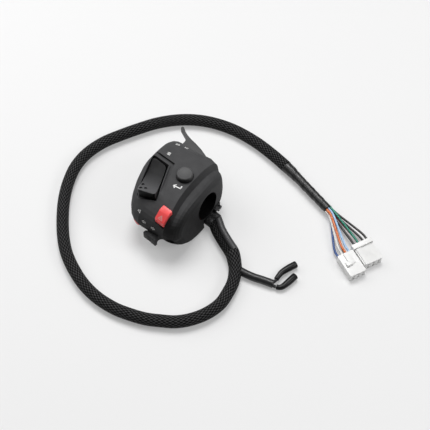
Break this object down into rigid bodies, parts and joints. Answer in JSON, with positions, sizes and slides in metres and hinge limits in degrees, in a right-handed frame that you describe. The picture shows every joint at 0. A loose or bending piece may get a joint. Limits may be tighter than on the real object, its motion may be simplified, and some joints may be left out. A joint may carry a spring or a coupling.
{
  "type": "handlebar switch cluster",
  "caption": "Left-hand motorbike handlebar switch cluster in a split clamp case, with rocker, buttons, turn slider and trigger, on a braided harness that ends in white plugs.",
  "frame": {"origin": "centre of the handlebar bore, halfway along it", "axes": "+X along the bar to the inboard end where the cable leaves, +Y to the lever side, +Z out of the button panel"},
  "size_m": [0.2387, 0.1943, 0.0495],
  "materials": {
    "case_black": "fine moulded grain",
    "control_black": "smooth satin",
    "key_red": "satin red",
    "zinc_steel": "zinc plated",
    "black_steel": "blackened",
    "spring_wire": "drawn wire",
    "board_green": "lacquered board",
    "dome_rubber": "soft",
    "slide_nylon": "natural",
    "contact_brass": "rolled strip",
    "contact_tin": "tinned",
    "switch_black": "moulded",
    "gland_rubber": "matt",
    "lead_cover": "soft sheath",
    "braid_black": "woven",
    "tape_black": "wound tape",
    "plug_white": "moulded nylon",
    "wire_grey": "sheath",
    "wire_blue": "sheath",
    "wire_white": "sheath",
    "wire_orange": "sheath",
    "wire_sky": "sheath",
    "wire_black": "sheath",
    "wire_green": "sheath",
    "wire_maroon": "sheath",
    "wire_brown": "sheath"
  },
  "bodies": {
    "housing": {"front_case": "case_black", "rear_case": "case_black", "clamp_screws": "zinc_steel", "contact_board": "board_green", "board_screws": "zinc_steel", "menu_domes": "dome_rubber", "rocker_pin": "zinc_steel", "enter_spring": "spring_wire", "enter_plate": "board_green", "hazard_spring": "spring_wire", "horn_dome": "dome_rubber", "lower_board": "board_green", "trigger_pin": "zinc_steel", "trigger_spring": "spring_wire", "trigger_switch": "switch_black", "cable_gland": "gland_rubber", "cable_clip": "control_black", "clip_screw": "black_steel", "main_lead": "lead_cover", "side_lead": "lead_cover", "braided_sleeve": "braid_black", "taped_tail": "tape_black", "branch_tube": "lead_cover", "branch_leads": "lead_cover", "terminal_boots": "gland_rubber", "plug_a_housing": "plug_white", "plug_b_housing": "plug_white", "plug_contacts": "contact_tin", "wire_grey": "wire_grey", "wire_blue": "wire_blue", "wire_white": "wire_white", "wire_orange": "wire_orange", "wire_sky": "wire_sky", "wire_black": "wire_black", "wire_green": "wire_green", "wire_maroon": "wire_maroon", "wire_brown": "wire_brown", "wire_ink": "wire_black"},
    "rocker": {"menu_rocker": "control_black"},
    "enter": {"enter_button": "control_black"},
    "hazard": {"hazard_key": "key_red"},
    "horn": {"horn_button": "key_red"},
    "slider": {"turn_carriage": "slide_nylon", "turn_wiper": "contact_brass"},
    "knob": {"turn_knob": "control_black"},
    "trigger": {"pass_trigger": "control_black"}
  },
  "joints": [
    {"name": "rocker_tilt", "type": "hinge", "parent": "housing", "child": "rocker", "pos_m": [-0.0109, -0.0199, 0.0122], "axis": [0.9272, 0.3746, 0], "range_deg": [-4, 4], "stiffness_Nm_per_rad": 0.6},
    {"name": "enter_press", "type": "slide", "parent": "housing", "child": "enter", "axis": [0, 0, -1], "range_m": [0, 0.002], "stiffness_N_per_m": 900, "deforming": ["enter_spring"]},
    {"name": "hazard_press", "type": "slide", "parent": "housing", "child": "hazard", "axis": [0, 0, -1], "range_m": [0, 0.0022], "stiffness_N_per_m": 900, "deforming": ["hazard_spring"]},
    {"name": "horn_press", "type": "slide", "parent": "housing", "child": "horn", "axis": [0.1736, 0.9848, 0], "range_m": [0, 0.0025], "stiffness_N_per_m": 900},
    {"name": "turn_slide", "type": "slide", "parent": "housing", "child": "slider", "axis": [1, 0, 0], "range_m": [-0.0035, 0.0035], "stiffness_N_per_m": 500},
    {"name": "cancel_press", "type": "slide", "parent": "slider", "child": "knob", "axis": [0, 1, 0], "range_m": [0, 0.0015], "stiffness_N_per_m": 900},
    {"name": "trigger_pull", "type": "hinge", "parent": "housing", "child": "trigger", "pos_m": [0, 0.0202, 0.0057], "axis": [0, 0, 1], "range_deg": [0, 5], "stiffness_Nm_per_rad": 0.8}
  ]
}
